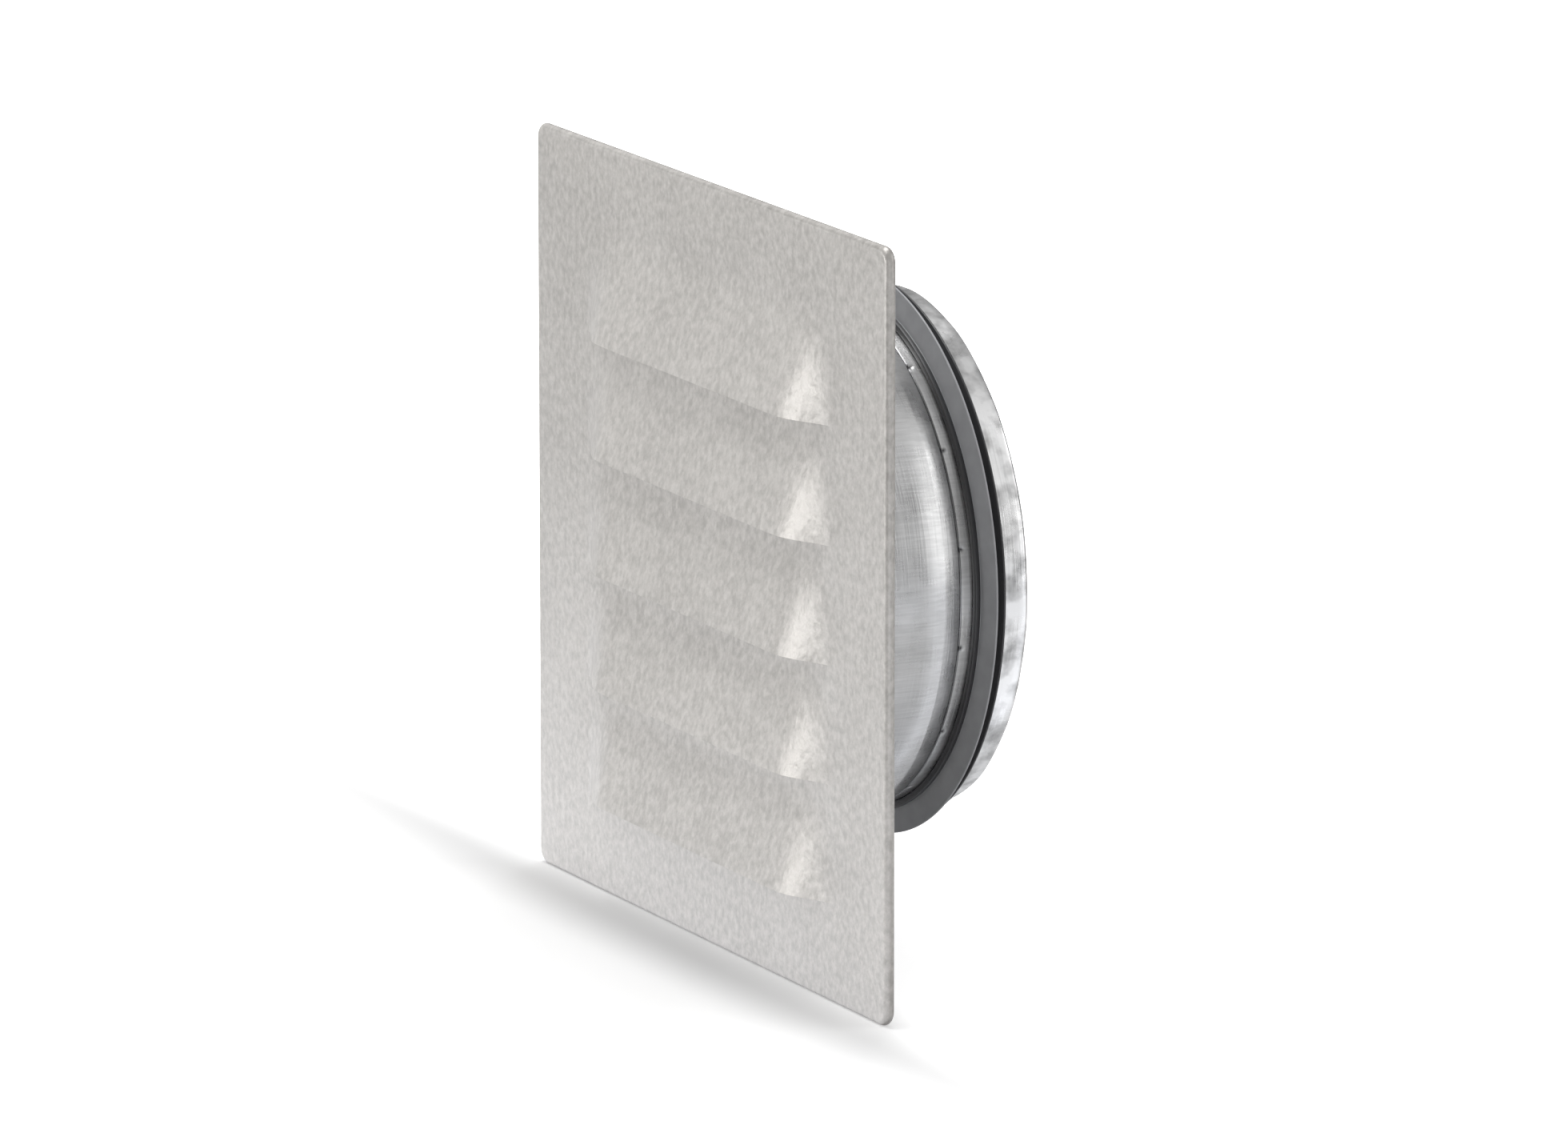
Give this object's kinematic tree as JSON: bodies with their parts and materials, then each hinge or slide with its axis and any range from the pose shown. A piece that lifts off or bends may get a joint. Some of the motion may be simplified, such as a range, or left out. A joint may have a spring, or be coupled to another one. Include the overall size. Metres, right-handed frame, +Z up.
{
  "type": "wall vent grille",
  "caption": "Square louvred wall vent grille of galvanised sheet with a round duct spigot and a double lip rubber gasket on its back.",
  "frame": {"origin": "centre of the spigot's open end", "axes": "+Y along the spigot into the wall, +Z up, the louvred face looks along -Y"},
  "size_m": [0.146, 0.0468, 0.146],
  "materials": {
    "galvanised_sheet": "satin",
    "spigot_sheet": "satin",
    "epdm": "matte"
  },
  "bodies": {
    "root": {"louvre_plate": "galvanised_sheet", "back_plate": "galvanised_sheet", "spigot": "spigot_sheet", "gasket": "epdm"}
  },
  "joints": []
}
